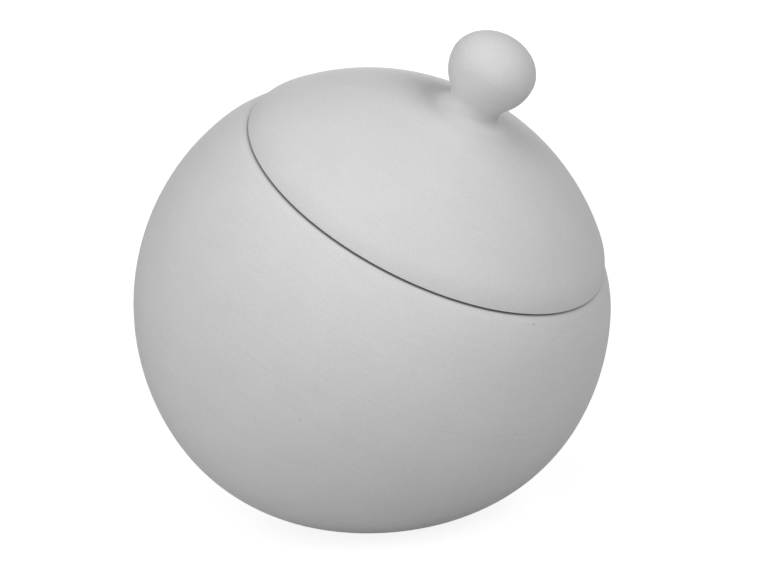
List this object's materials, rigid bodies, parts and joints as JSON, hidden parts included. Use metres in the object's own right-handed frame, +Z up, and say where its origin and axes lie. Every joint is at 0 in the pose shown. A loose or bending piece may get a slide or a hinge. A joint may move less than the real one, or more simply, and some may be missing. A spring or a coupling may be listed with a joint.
{
  "type": "lidded jar",
  "caption": "Ball-shaped bisque earthenware jar that leans on a flat base, with a domed lift-off lid and a ball knob on top.",
  "frame": {"origin": "centre of the flat base, straight under the ball's centre, on the surface that the jar stands on", "axes": "+Z up; +X the way that the mouth and the lid lean, 30.5 degrees from upright; +Y completes a right-handed frame"},
  "size_m": [0.1496, 0.15, 0.1547],
  "materials": {
    "jar_bisque": "matte",
    "lid_bisque": "matte"
  },
  "bodies": {
    "jar": {"jar_body": "jar_bisque"},
    "lid": {"lid": "lid_bisque"}
  },
  "joints": [
    {"name": "lid_lift", "type": "slide", "parent": "jar", "child": "lid", "axis": [0.5075, 0, 0.8616], "range_m": [0, 0.16]}
  ]
}
